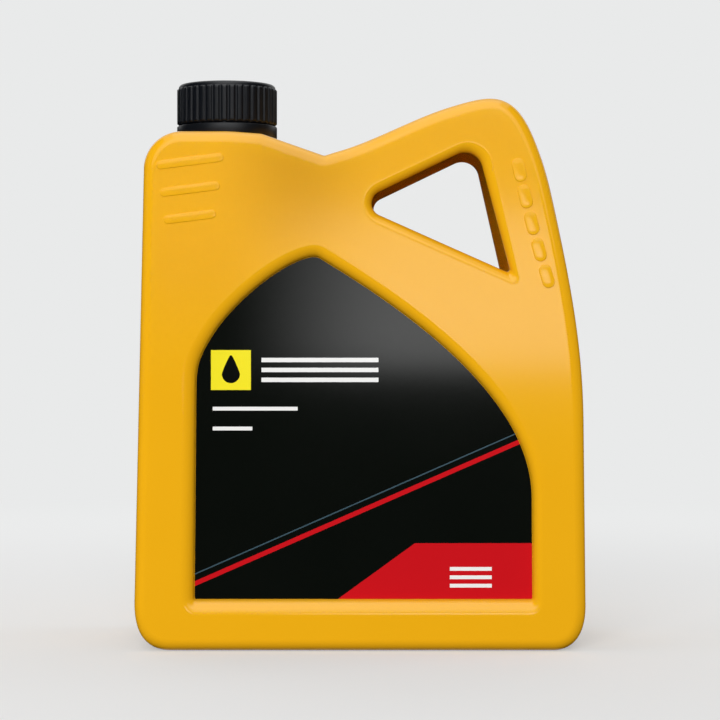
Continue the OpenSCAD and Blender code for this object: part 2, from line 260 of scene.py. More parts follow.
def revolved(profile: Array, axis_x: float, steps: int) -> Array:
    """Surface of revolution: each profile point goes round the axis at its own radius and height.

    Args:
        profile: radius, height pairs.
        axis_x: place of the vertical axis.
        steps: number of pieces in a full turn.

    Returns:
        Grid of points, one row for each profile point.
    """
    angle = np.linspace(0, 2 * np.pi, steps, endpoint=False)
    radius, height = profile[:, :1], np.broadcast_to(profile[:, 1:], (len(profile), steps))
    return np.stack([axis_x + radius * np.cos(angle), radius * np.sin(angle), height], axis=-1)


def helix_ridge(axis_x: float, wall: float, rise: float, foot: float, crest: float, start_z: float,
                start_angle: float, turn: Turn) -> Array:
    """Thread ridge: a trapezoid carried along a helix, whose height fades to nothing at both ends.

    The first and the last section are drawn together to a point, so the ridge is closed.

    Args:
        axis_x: place of the vertical axis.
        wall: radius of the wall that carries the ridge.
        rise: height of the ridge.
        foot: width of the ridge at the wall.
        crest: width of its top.
        start_z: height where it starts.
        start_angle: angle where it starts.
        turn: whether it stands outward or inward.

    Returns:
        Grid of points, one closed section a row.
    """
    t = np.linspace(0.0, 1.0, int(96 * THREAD_TURNS) + 1)
    fade = smooth(np.minimum(t, 1 - t) * THREAD_TURNS / 0.09)
    angle = start_angle + 2 * np.pi * THREAD_TURNS * t
    across = np.array([-foot / 2, -foot / 2, -crest / 2 - 0.12, -crest / 2 + 0.1,
                       crest / 2 - 0.1, crest / 2 + 0.12, foot / 2, foot / 2])
    height = np.array([-0.25, 0.0, 0.86, 1.0, 1.0, 0.86, 0.0, -0.25]) * rise
    lift = np.where(height[None] > 0, height[None] * fade[:, None], height[None])
    radius = wall + turn.value * lift
    z = start_z + THREAD_LEAD * THREAD_TURNS * t[:, None] + across[None] * (0.35 + 0.65 * fade[:, None])
    ridge = np.stack([axis_x + radius * np.cos(angle[:, None]), radius * np.sin(angle[:, None]), z], axis=-1)
    for end in (0, -1):
        ridge[end] = ridge[end].mean(axis=0)
    return ridge


class Skin:
    """Surface patches in millimetres that are welded into one mesh in metres.

    Patches that are added while soft is true get smooth faces, and the others flat ones.
    """

    def __init__(self) -> None:
        """Starts with no patches."""
        self.points: list[Array] = []
        self.faces: list[Array] = []
        self.slots: list[Array] = []
        self.smooth: list[Array] = []
        self.soft = True
        self.count = 0

    def add(self, points: Array, faces: Array, slot: int = 0) -> None:
        """Adds points and the faces between them.

        Args:
            points: one point a row.
            faces: one face a row, as indices into these points.
            slot: material slot of the faces.
        """
        self.points.append(points)
        self.faces.append(faces + self.count)
        self.slots.append(np.full(len(faces), slot))
        self.smooth.append(np.full(len(faces), self.soft))
        self.count += len(points)

    def grid(self, rows: Array, wrap_rows: bool = False) -> None:
        """Adds a grid of quads whose rows are closed.

        Args:
            rows: grid of points.
            wrap_rows: whether the last row joins the first.
        """
        m, n = rows.shape[:2]
        index = np.arange(m * n).reshape(m, n)
        index = np.concatenate([index, index[:, :1]], axis=1)
        if wrap_rows:
            index = np.concatenate([index, index[:1]], axis=0)
        quads = np.stack([index[:-1, :-1], index[:-1, 1:], index[1:, 1:], index[1:, :-1]], axis=-1)
        self.add(rows.reshape(-1, 3), quads.reshape(-1, 4))

    def region(self, outer: Array, holes: Sequence[Array], y: float, inner: Optional[Array] = None) -> None:
        """Adds a flat region between loops, as Delaunay triangles that keep the loops' edges.

        Args:
            outer: its outer loop, as x, z.
            holes: loops that are left open.
            y: depth of the region.
            inner: extra points inside the region.
        """
        points, triangles, centre = triangulated([outer, *holes], inner)
        keep = np.ones(len(centre), bool)
        for hole in holes:
            keep &= ~inside(centre, hole)
        self.add(upright(points, y), triangles[keep])

    def mesh(self, name: str, materials: Sequence[bpy.types.Material]) -> bpy.types.Object:
        """Welds the patches, turns their faces outwards and makes the object.

        Args:
            name: name of the new object.
            materials: its material slots.

        Returns:
            The object, at the origin.
        """
        data = bpy.data.meshes.new(name)
        faces = [face for patch in self.faces for face in patch.tolist()]
        data.from_pydata((np.concatenate(self.points) * MM).tolist(), [], faces)
        data.polygons.foreach_set("material_index", np.concatenate(self.slots).astype(np.int32))
        data.polygons.foreach_set("use_smooth", np.concatenate(self.smooth))
        for material in materials:
            data.materials.append(material)
        work = bmesh.new()
        work.from_mesh(data)
        bmesh.ops.remove_doubles(work, verts=work.verts, dist=2e-6)
        loose = [v for v in work.verts if not v.link_faces]
        bmesh.ops.delete(work, geom=loose, context="VERTS")
        bmesh.ops.recalc_face_normals(work, faces=work.faces)
        work.to_mesh(data)
        work.free()
        made = bpy.data.objects.new(name, data)
        bpy.context.scene.collection.objects.link(made)
        return made


def linear(hex_colour: str) -> tuple[float, float, float, float]:
    """Turns an sRGB hex colour to linear: (c + 0.055) / 1.055 to the power 2.4, or c / 12.92 when dark.

    Args:
        hex_colour: colour as #rrggbb.

    Returns:
        Linear red, green, blue and an alpha of one.
    """
    c = np.array([int(hex_colour[i:i + 2], 16) for i in (1, 3, 5)]) / 255
    values = np.where(c <= 0.04045, c / 12.92, ((c + 0.055) / 1.055) ** 2.4)
    return (*values.tolist(), 1.0)


@dataclass
class Nodes:
    """Node tree of a material or the world, with one helper that adds a node."""

    tree: bpy.types.NodeTree

    def add(self, kind: str, settings: Optional[dict] = None, **inputs: object) -> bpy.types.Node:
        """Adds a node, sets its properties and values and links its inputs.

        Args:
            kind: Blender's name of the node type.
            settings: properties of the node.
            inputs: input by name, with _ for a space, or i and its number; a socket is linked, else set.

        Returns:
            The new node.
        """
        node = self.tree.nodes.new(kind)
        for key, value in (settings or {}).items():
            setattr(node, key, value)
        for key, value in inputs.items():
            numbered = key[0] == "i" and key[1:].isdigit()
            socket = node.inputs[int(key[1:])] if numbered else node.inputs[key.replace("_", " ")]
            if isinstance(value, bpy.types.NodeSocket):
                self.tree.links.new(value, socket)
            else:
                socket.default_value = value
        return node


def blank_material(name: str) -> tuple[bpy.types.Material, Nodes]:
    """Makes a material with an empty node tree.

    Args:
        name: name of the material.

    Returns:
        The material and its nodes.
    """
    material = bpy.data.materials.new(name)
    material.use_nodes = True
    material.node_tree.nodes.clear()
    return material, Nodes(material.node_tree)


@dataclass(frozen=True)
class MouldedPlastic:
    """Moulded or blown thermoplastic: one body colour, a fine mould texture and an even sheen.

    The mould's blasted steel leaves a grain, drawn coarser than the real one of about 0.1 mm so that it
    shows, and thick and thin places differ a little in tone over clouds of some 45 mm.
    """

    name: str
    colour: str
    shade: str
    roughness: float
    grain_mm: float
    grain_depth_mm: float
    ior: float = 1.5
    cloud_mm: float = 45.0
    cloud_share: float = 0.5

    def material(self) -> bpy.types.Material:
        """Makes the material."""
        material, nodes = blank_material(self.name)
        place = nodes.add("ShaderNodeTexCoord").outputs["Object"]
        cloud = nodes.add("ShaderNodeTexNoise", Vector=place, Scale=1 / (self.cloud_mm * MM),
                          Detail=2.0, Roughness=0.5)
        share = nodes.add("ShaderNodeMapRange", Value=cloud.outputs["Fac"], From_Min=0.35, From_Max=0.65,
                          To_Min=0.0, To_Max=self.cloud_share)
        tone = nodes.add("ShaderNodeMix", {"data_type": "RGBA"}, Factor=share.outputs["Result"],
                         i6=linear(self.colour), i7=linear(self.shade)).outputs[2]
        grain = nodes.add("ShaderNodeTexNoise", Vector=place, Scale=1 / (self.grain_mm * MM),
                          Detail=3.0, Roughness=0.6)
        sheen = nodes.add("ShaderNodeMapRange", Value=grain.outputs["Fac"], From_Min=0.3, From_Max=0.7,
                          To_Min=self.roughness * 0.88, To_Max=self.roughness * 1.12)
        bump = nodes.add("ShaderNodeBump", Height=grain.outputs["Fac"], Strength=1.0,
                         Distance=self.grain_depth_mm * MM)
        shader = nodes.add("ShaderNodeBsdfPrincipled", Base_Color=self.tint(nodes, place, tone), IOR=self.ior,
                           Roughness=sheen.outputs["Result"], Normal=bump.outputs["Normal"])
        nodes.add("ShaderNodeOutputMaterial", Surface=shader.outputs["BSDF"])
        return material

    def tint(self, nodes: Nodes, place: bpy.types.NodeSocket,
             tone: bpy.types.NodeSocket) -> bpy.types.NodeSocket:
        """Leaves the tone as it is: a plastic whose colour varies further changes it here.

        Args:
            nodes: the material's nodes, not used here.
            place: Object coordinates, not used here.
            tone: colour so far.

        Returns:
            The same colour.
        """
        return tone


@dataclass(frozen=True)
class BlownPlastic(MouldedPlastic):
    """Blown thermoplastic whose faces have painted shade, a darker colour, below the notch.

    The painted shade stands in for the shade of a shallow hollow there, whose depth one view doesn't give.
    """

    # Painted shade below the notch: its darker colour, its centre as x, z and its reaches, in millimetres.
    painted_shade_colour: str = "#d79b0f"
    painted_shade_mm: tuple[float, float] = (-28.4, 218.0)
    painted_shade_reach_mm: tuple[float, float] = (42.0, 52.0)
    face_mm: tuple[float, float] = (50.0, 51.9)

    def tint(self, nodes: Nodes, place: bpy.types.NodeSocket,
             tone: bpy.types.NodeSocket) -> bpy.types.NodeSocket:
        """Paints shade around the spot below the notch, on the faces and not on their rounded edges.

        The share of painted shade falls by smoothstep with the distance from its centre, measured in its two
        reaches, and rises by smoothstep over the last part of the depth, where the faces lie.

        Args:
            nodes: the material's nodes.
            place: Object coordinates.
            tone: colour so far.

        Returns:
            The colour with the painted shade mixed in.
        """
        (x, z), (reach_x, reach_z) = self.painted_shade_mm, self.painted_shade_reach_mm
        eased = {"interpolation_type": "SMOOTHSTEP"}
        moved = nodes.add("ShaderNodeVectorMath", {"operation": "SUBTRACT"}, i0=place,
                          i1=(x * MM, 0.0, z * MM))
        scaled = nodes.add("ShaderNodeVectorMath", {"operation": "MULTIPLY"}, i0=moved.outputs["Vector"],
                           i1=(1 / (reach_x * MM), 0.0, 1 / (reach_z * MM)))
        away = nodes.add("ShaderNodeVectorMath", {"operation": "LENGTH"}, i0=scaled.outputs["Vector"])
        near = nodes.add("ShaderNodeMapRange", eased, Value=away.outputs["Value"],
                         From_Min=0.0, From_Max=1.0, To_Min=1.0, To_Max=0.0)
        parts = nodes.add("ShaderNodeSeparateXYZ", Vector=place)
        depth = nodes.add("ShaderNodeMath", {"operation": "ABSOLUTE"}, i0=parts.outputs["Y"])
        flat = nodes.add("ShaderNodeMapRange", eased, Value=depth.outputs["Value"],
                         From_Min=self.face_mm[0] * MM, From_Max=self.face_mm[1] * MM)
        share = nodes.add("ShaderNodeMath", {"operation": "MULTIPLY"}, i0=near.outputs["Result"],
                          i1=flat.outputs["Result"])
        # Mixes the painted shade into the colour.
        return nodes.add("ShaderNodeMix", {"data_type": "RGBA"}, Factor=share.outputs["Value"], i6=tone,
                         i7=linear(self.painted_shade_colour)).outputs[2]


@dataclass(frozen=True)
class Foil:
    """Rolled aluminium foil: bright metal with faint rolling lines and small dents.

    Real rolling lines lie some hundredths of a millimetre apart and are drawn coarser so that they show:
    line_mm is their spacing across X and their length along Y and Z.
    """

    name: str = "rolled_foil"
    colour: str = "#d8dadc"
    line_mm: tuple[float, float, float] = (1 / 3, 50 / 3, 50 / 3)
    dent_mm: float = 3.84615
    relief_mm: float = 0.1

    def material(self) -> bpy.types.Material:
        """Makes the material."""
        material, nodes = blank_material(self.name)
        place = nodes.add("ShaderNodeTexCoord").outputs["Object"]
        lines = nodes.add("ShaderNodeMapping", Vector=place, Scale=[1 / (size * MM) for size in self.line_mm])
        rolled = nodes.add("ShaderNodeTexNoise", Vector=lines.outputs["Vector"], Scale=1.0, Detail=2.0)
        dents = nodes.add("ShaderNodeTexNoise", Vector=place, Scale=1 / (self.dent_mm * MM), Detail=2.0)
        height = nodes.add("ShaderNodeMath", {"operation": "ADD"}, i0=rolled.outputs["Fac"],
                           i1=dents.outputs["Fac"])
        bump = nodes.add("ShaderNodeBump", Height=height.outputs["Value"], Strength=0.6,
                         Distance=self.relief_mm * MM)
        rough = nodes.add("ShaderNodeMapRange", Value=rolled.outputs["Fac"], To_Min=0.22, To_Max=0.36)
        shader = nodes.add("ShaderNodeBsdfPrincipled", Base_Color=linear(self.colour), Metallic=1.0,
                           Roughness=rough.outputs["Result"], Normal=bump.outputs["Normal"])
        nodes.add("ShaderNodeOutputMaterial", Surface=shader.outputs["BSDF"])
        return material


# Blown high-density polyethylene: opaque warm yellow, a high gloss, a faint grain that softens it and painted
# shade below the notch.
BLOWN_POLYETHYLENE = BlownPlastic("blown_polyethylene", "#edad15", "#ebab13", roughness=0.09, grain_mm=0.8,
                                  grain_depth_mm=0.0015, ior=1.54)
# Moulded polypropylene, black: satin, so its ribs pick up broad grey lights.
MOULDED_POLYPROPYLENE = MouldedPlastic("moulded_polypropylene", "#0a0d12", "#0d1015", roughness=0.36,
                                       grain_mm=0.5, grain_depth_mm=0.003, ior=1.49)
# Closed-cell foam: pale, matt, with small cells.
LINER_FOAM = MouldedPlastic("liner_foam", "#e9e7df", "#deddd2", roughness=0.8, grain_mm=0.35,
                            grain_depth_mm=0.05)
# Colour and shade of each ink on the printed polypropylene film.
INK_TONES = {
    Ink.BLACK: ("#0a0d0a", "#0c0f0c"),
    Ink.RED: ("#c8151d", "#c4141c"),
    Ink.YELLOW: ("#f4e52c", "#f1e22a"),
    Ink.WHITE: ("#eeeeec", "#eaeae8"),
    Ink.BLUE: ("#3f5560", "#3b505b"),
}


def ink_finish(ink: Ink) -> MouldedPlastic:
    """Finish of one ink: all of them lie under one glossy varnish.

    Args:
        ink: which ink.

    Returns:
        The finish.
    """
    colour, shade = INK_TONES[ink]
    return MouldedPlastic(f"ink_{ink.name.lower()}", colour, shade, roughness=0.08, grain_mm=0.9,
                          grain_depth_mm=0.001, ior=1.49)


@dataclass
class BodyShape:
    """Sizes and outlines of the blown body, in millimetres.

    Four sizes of the opening belong to its roof, its limb at the top and at the foot, and its sill. Those of
    the panel's slopes belong to its left, right, lower and upper side. Hold is the width of the narrow rows
    beside an edge that keep the flat faces flat.
    """

    width: float = 205.2
    depth: float = 104.0
    shoulder: float = 235.2
    handle: float = 250.35
    edge: float = 5.3
    foot_radius: float = 16.0
    shoulder_radius: float = 17.3
    left_lean: float = 5.0
    notch_drop: float = 11.1
    neck_inset: float = 39.7
    lip: float = 4.8
    front_wall: tuple[float, float, float, float] = (0.6, -0.9, 1.4, 0.8)
    front_lips: tuple[float, float, float, float] = (4.1, 5.4, 3.1, 4.4)
    back_wall: tuple[float, float, float, float] = (3.4, 3.4, 3.4, 3.4)
    back_lips: tuple[float, float, float, float] = (4.8, 4.8, 4.8, 4.8)
    panel_left: float = 27.45
    panel_right: float = 24.3
    panel_bottom: float = 23.0
    panel_peak: float = 178.45
    panel_depth: float = 5.0
    panel_slopes: tuple[float, float, float, float] = (6.3, 4.4, 7.2, 5.3)
    base_hollow: float = 3.0
    base_rim: float = 12.0
    base_corner: float = 10.0
    spacing: float = 1.3
    hold: float = 0.3

    @property
    def half(self) -> float:
        """Half the depth."""
        return self.depth / 2

    @property
    def left(self) -> float:
        """Left end of the foot."""
        return -self.width / 2

    @property
    def right(self) -> float:
        """Right end of the foot."""
        return self.width / 2

    @property
    def neck_x(self) -> float:
        """Place of the neck's axis."""
        return self.left + self.neck_inset

    def outline(self) -> Array:
        """Outline of the body as x, z, clockwise from the left corner of the foot: arcs and cubic curves."""
        x, h, f = self.right, self.handle, self.foot_radius
        foot_left = np.array([self.left, 0.0])
        top_left = np.array([self.left + self.left_lean, self.shoulder])
        crest = np.array([self.neck_x + 4.0, self.shoulder])
        bend = np.array([self.neck_x + 18.2, self.shoulder - 1.1])
        notch = np.array([self.neck_x + 46.75, self.shoulder - self.notch_drop])
        foot_in = [[self.left + f * 1.09, 0], [self.left + f * 0.23, 0], [self.left, f * 0.63],
                   [self.left + self.left_lean * 0.08, f * 1.44]]
        rise = [notch + [4.6, 1.5], [x - 96.4, h - 20], [x - 79.15, h - 9.4], [x - 60.65, h - 3.85]]
        crown = [rise[3], [x - 42.5, h + 1.6], [x - 32.5, h + 3.5], [x - 23.3, h - 19.7]]
        knuckle = [crown[3], [x - 19.3, h - 29.8], [x - 17.5, h - 36.5], [x - 14.9, h - 48.4]]
        side = [knuckle[3], [x - 6.1, h - 88.8], [x - 1.4, h - 115.8], [x - 1.25, h - 149.3]]
        foot_out = [[x - 0.38, f * 1.29], [x - 0.25, f * 0.47], [x - f * 0.34, 0], [x - f * 0.98, 0]]
        return closed([
            bezier(foot_in, 32),
            rounded(foot_left, top_left, crest, self.shoulder_radius, 28),
            rounded(top_left, crest, bend, 60.0, 6),
            rounded(crest, bend, notch, 6.0, 8),
            rounded(bend, notch, rise[0], 2.5, 8),
            bezier(rise, 48),
            bezier(crown, 60),
            bezier(knuckle, 24),
            bezier(side, 80),
            bezier(foot_out, 32),
        ], self.spacing)

    def panel(self) -> Array:
        """Outline of the panel floor, clockwise: straight foot and sides under a pointed arch."""
        left, right = self.left + self.panel_left, self.right - self.panel_right
        peak, peak_x = self.panel_peak, self.neck_x + 41.8
        foot_left = np.array([left, self.panel_bottom])
        foot_right = np.array([right, self.panel_bottom])
        knee = [left + 8.9, peak - 34.8]
        flank = [[left + 0.8, peak - 59.8], [left + 0.8, peak - 49], [left + 2.4, peak - 44.9], knee]
        rise = [knee, [left + 17.2, peak - 21.9], [peak_x - 16.6, peak - 4], [peak_x - 2.25, peak - 0.43]]
        fall = [[peak_x + 2.6, peak - 0.58], [peak_x + 71.4, peak - 41.75], [right - 0.3, peak - 77.5],
                [right - 0.3, peak - 109.6]]
        top = [rise[3], [peak_x - 1, peak - 0.1], [peak_x + 0.8, peak + 0.1], fall[0]]
        return closed([
            rounded(foot_right, foot_left, flank[0], 1.0, 6),
            bezier(flank, 24),
            bezier(rise, 50),
            bezier(top, 12),
            bezier(fall, 100),
            rounded(fall[3], foot_right, foot_left, 1.0, 6),
        ], self.spacing)

    def opening(self, out: Sequence[float], radii: Sequence[float]) -> Array:
        """Outline of the handle opening, clockwise: a triangle with round corners.

        A corner whose two sides move outwards by a and b shifts against their directions u and v, by
        (a v + b u) over the sine of the angle between them.

        Args:
            out: how far the roof, the limb at its top and at its foot, and the sill have moved outwards.
            radii: radii of the left, top and low corners.

        Returns:
            The same number of points whatever the sizes.
        """
        x, h = self.right, self.handle
        roof, limb_top, limb_low, sill = out
        steps = (20, 24, 14)
        corners = np.array([[x - 103.65, h - 48.0], [x - 48.85, h - 21.7], [x - 36.05, h - 78.1]])
        moved = []
        for i, (come, go) in enumerate(((sill, roof), (roof, limb_top), (limb_low, sill))):
            u = unit(corners[i - 1] - corners[i])
            v = unit(corners[(i + 1) % 3] - corners[i])
            moved.append(corners[i] - (come * v + go * u) / abs(u[0] * v[1] - u[1] * v[0]))
        arcs = [rounded(moved[i - 1], moved[i], moved[(i + 1) % 3], radii[i], steps[i]) for i in range(3)]
        share = np.linspace(0, 1, 40, endpoint=False)[1:, None]
        sides = [arcs[i][-1] + share * (arcs[(i + 1) % 3][0] - arcs[i][-1]) for i in range(3)]
        return np.concatenate([piece for pair in zip(arcs, sides) for piece in pair])

    def opening_rows(self, side: float) -> Array:
        """Rows of one half of the opening, from its lip on the face to the parting plane.

        The lip is a quarter ellipse with a width of its own on each side, and the wall between it and the
        parting plane is straight. The corners' radii change evenly over both.

        Args:
            side: -1 for the front half, 1 for the back half.

        Returns:
            Grid of points.
        """
        front = side < 0
        wall_out = np.array(self.front_wall if front else self.back_wall)
        lip_width = np.array(self.front_lips if front else self.back_lips)
        middle = np.array([5.4, 8.0, 1.5])
        wall = np.array([5.8, 8.0, 1.2] if front else [6.0, 7.6, 2.5])
        face = np.array([10.3, 11.5, 2.5] if front else [10.0, 12.0, 4.0])
        rows = [self.opening(wall_out + lip_width + self.hold, face + self.hold)]
        depths = [self.half]
        for angle in np.linspace(0, np.pi / 2, 16):
            share = 1 - np.sin(angle)
            rows.append(self.opening(wall_out + lip_width * share, wall + share * (face - wall)))
            depths.append(self.half - self.lip * (1 - np.cos(angle)))
        for share in np.linspace(1.0, 0.0, 12)[1:]:
            rows.append(self.opening(wall_out * share, middle + share * (wall - middle)))
            depths.append((self.half - self.lip) * share)
        plane = np.array(rows)
        depth = np.broadcast_to(side * np.array(depths)[:, None], plane.shape[:2])
        return np.stack([plane[..., 0], depth, plane[..., 1]], axis=-1)

    def panel_rows(self, panel: Array, slope: Array, y: Array) -> Array:
        """Rows of the panel's rounded wall: each normal's run is its square parts times the four runs.

        Args:
            panel: outline of the floor.
            slope: share of the wall's run for each row, 0 at the floor and 1 at the face.
            y: depth of each row.

        Returns:
            Grid of points.
        """
        n = normals(panel)
        left, right, low, top = self.panel_slopes
        run = (np.minimum(n[:, 0], 0) ** 2 * left + np.maximum(n[:, 0], 0) ** 2 * right
               + np.minimum(n[:, 1], 0) ** 2 * low + np.maximum(n[:, 1], 0) ** 2 * top)
        return section_rows(panel, n * run[:, None], slope, y)


@dataclass
class Bottle:
    """The blown body with its handle, panels, grips and threaded neck."""

    shape: BodyShape
    neck_height: float = 23.2
    neck_radius: float = 19.2
    neck_bore: float = 17.2
    grip_rise: float = 0.5

    def sides(self, skin: Skin) -> None:
        """Adds the rounded edges, the sides with their parting line and the hollow base.

        The edge is a quarter circle, the side is straight between two of them, the parting line is a
        ridge of a sixth of a millimetre, and inside the standing rim the base rises by smoothstep.

        Args:
            skin: collects the patches.
        """
        s = self.shape
        path = s.outline()
        quarter = np.linspace(0, np.pi / 2, 12)
        edge_grow, edge_y = -s.edge + s.edge * np.sin(quarter), -s.half + s.edge - s.edge * np.cos(quarter)
        flat = np.linspace(edge_y[-1], -1.0, 22)[1:]
        ridge_y = np.array([-0.5, -0.28, 0.0, 0.28, 0.5])
        ridge = np.array([0.0, 0.12, 0.17, 0.12, 0.0])
        grow = np.concatenate([[-s.edge - s.hold], edge_grow, 0 * flat, ridge, 0 * flat, edge_grow[::-1],
                               [-s.edge - s.hold]])
        y = np.concatenate([[-s.half], edge_y, flat, ridge_y, -flat[::-1], -edge_y[::-1], [s.half]])
        rows = section_rows(path, normals(path), grow, y)
        reach = np.array([s.right - s.foot_radius - s.base_rim, s.half - s.base_rim])
        corner = s.base_corner
        beyond = np.abs(rows[..., :2]) - (reach - corner)
        outside = np.linalg.norm(np.maximum(beyond, 0), axis=-1) + np.minimum(beyond.max(axis=-1), 0)
        under = rows[..., 2] < 0.3
        rows[..., 2] += under * s.base_hollow * smooth((corner - outside) / (1.5 * s.base_hollow))
        skin.grid(rows)

    def faces(self, skin: Skin) -> None:
        """Adds the front and back faces, their sunk panels and the handle opening.

        The panel's wall is a quarter ellipse: its run is 1 - cos and its height sin of an angle from the
        floor to the face. Each face is a flat region between the body's edge, the panel and the opening.

        Args:
            skin: collects the patches.
        """
        s = self.shape
        path, panel = s.outline(), s.panel()
        outer = path - (s.edge + s.hold) * normals(path)
        angle = np.concatenate([[0.0, 0.05], np.linspace(0.12, np.pi / 2, 17)])
        mean_run = 5.0
        for side in (-1.0, 1.0):
            face_y, floor_y = side * s.half, side * (s.half - s.panel_depth)
            slope = s.panel_rows(panel, 1 - np.cos(angle), floor_y + (face_y - floor_y) * np.sin(angle))
            rim = s.panel_rows(panel, np.array([1.0 + s.hold / mean_run]), np.array([face_y]))
            foot = section_rows(panel, normals(panel), np.array([-s.hold]), np.array([floor_y]))
            skin.grid(np.concatenate([foot, slope, rim]))
            floor = foot[0][:, [0, 2]]
            skin.region(floor, [], floor_y, self.filling(floor, [], 9.0))
            lips = s.opening_rows(side)
            skin.grid(lips)
            holes = [rim[0][:, [0, 2]], lips[0][:, [0, 2]]]
            skin.region(outer, holes, face_y, self.filling(outer, holes, 6.0))

    @staticmethod
    def filling(outer: Array, holes: Sequence[Array], spacing: float) -> Array:
        """Grid points that lie well inside a region.

        Args:
            outer: its outer loop.
            holes: loops that are left open.
            spacing: distance between the points.

        Returns:
            The points, as x, z.
        """
        low, high = outer.min(axis=0), outer.max(axis=0)
        x, z = np.meshgrid(np.arange(low[0], high[0], spacing), np.arange(low[1], high[1], spacing))
        points = np.stack([x.ravel(), z.ravel()], axis=1)
        keep = inside(points, outer)
        for hole in holes:
            keep &= ~inside(points, hole)
        points = points[keep]
        rims = np.concatenate([outer, *holes])[::2]
        near = np.linalg.norm(points[:, None] - rims[None], axis=2).min(axis=1)
        return points[near > spacing * 0.5]

    def grip(self, skin: Skin, centre: Array, width: float, length: float, tilt: float) -> None:
        """Adds one raised grip on the front and its twin on the back: a stadium with a soft foot and rim.

        Args:
            skin: collects the patches.
            centre: its middle, as x, z.
            width: its width.
            length: its length.
            tilt: turn of its long axis from +X, in degrees.
        """
        s = self.shape
        span = (length - width) / 2
        along = np.array([np.cos(np.radians(tilt)), np.sin(np.radians(tilt))])
        across = np.array([along[1], -along[0]])
        angle = np.concatenate([np.linspace(np.pi / 2, -np.pi / 2, 20),
                                np.linspace(-np.pi / 2, -3 * np.pi / 2, 20)])
        shift = np.repeat([span, -span], 20)
        round_x, round_z = np.cos(angle), -np.sin(angle)
        rise = self.grip_rise
        grow = np.array([0.16, 0.05, 0.0, -0.01, -0.03, -0.08, -0.2])
        height = np.array([-0.15, 0.02, 0.08, 0.3, 0.78 * rise, 0.95 * rise, rise])
        radius = width / 2 + grow[:, None]
        u = shift[None] + radius * round_x[None]
        v = radius * round_z[None]
        plane = centre + u[..., None] * along + v[..., None] * across
        for side in (-1.0, 1.0):
            y = np.broadcast_to(side * (s.half + height)[:, None], plane.shape[:2])
            skin.grid(np.stack([plane[..., 0], y, plane[..., 1]], axis=-1))
            for row in (0, -1):
                skin.region(plane[row], [], float(y[row, 0]))

    def grips(self, skin: Skin) -> None:
        """Adds three bars beside the shoulder and five thumb pads along the handle.

        Args:
            skin: collects the patches.
        """
        s = self.shape
        for i in range(3):
            centre = np.array([s.neck_x - 13.9, s.shoulder - 14.0 - 12.55 * i])
            self.grip(skin, centre, width=3.9, length=30.5 - 3.45 * i, tilt=7.1)
        for i, step in enumerate((0.0, 2.7, 5.7, 8.95, 12.5)):
            centre = np.array([s.right - 30.8 + step, s.handle - 33.05 - 12.0 * i])
            self.grip(skin, centre, width=5.6, length=10.8, tilt=102.6 + i)

    def neck(self, skin: Skin) -> None:
        """Adds the neck: a revolved tube with a flared root, the bead and two thread starts.

        Args:
            skin: collects the patches.
        """
        s, r = self.shape, self.neck_radius
        z, rim = s.shoulder, s.shoulder + self.neck_height
        bead = rim - BEAD_DROP
        profile = np.array([
            [r + 2.4, z - 2.0], [r + 2.4, z - 0.4], [r + 1.2, z + 0.1], [r + 0.4, z + 0.7], [r, z + 1.6],
            [r, bead - 0.2], [r + 0.2, bead], [r + 1.6, bead + 0.15], [r + 1.8, bead + 0.4],
            [r + 1.8, bead + 0.9], [r + 1.5, bead + 1.2], [r + 0.2, bead + 1.9], [r, bead + 2.1],
            [r, rim - 1.0], [r - 0.25, rim - 0.35], [r - 0.8, rim], [self.neck_bore + 0.5, rim],
            [self.neck_bore + 0.1, rim - 0.15], [self.neck_bore, rim - 0.5], [self.neck_bore, z - 6.0],
            [r, z - 6.0],
        ])
        skin.grid(revolved(profile, s.neck_x, 160), wrap_rows=True)
        for start in (0.0, np.pi):
            skin.grid(helix_ridge(s.neck_x, r, rise=1.1, foot=2.1, crest=1.1, start_z=rim - 13.35,
                                  start_angle=start, turn=Turn.OUTWARD))

    def build(self, material: bpy.types.Material) -> bpy.types.Object:
        """Makes the bottle's skin in place of the faceted solid.

        Args:
            material: its plastic.

        Returns:
            The new object.
        """
        skin = Skin()
        self.sides(skin)
        self.faces(skin)
        self.grips(skin)
        self.neck(skin)
        made = skin.mesh("bottle_skin", [material])
        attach(made, "bottle_body")
        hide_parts("bottle")
        return made


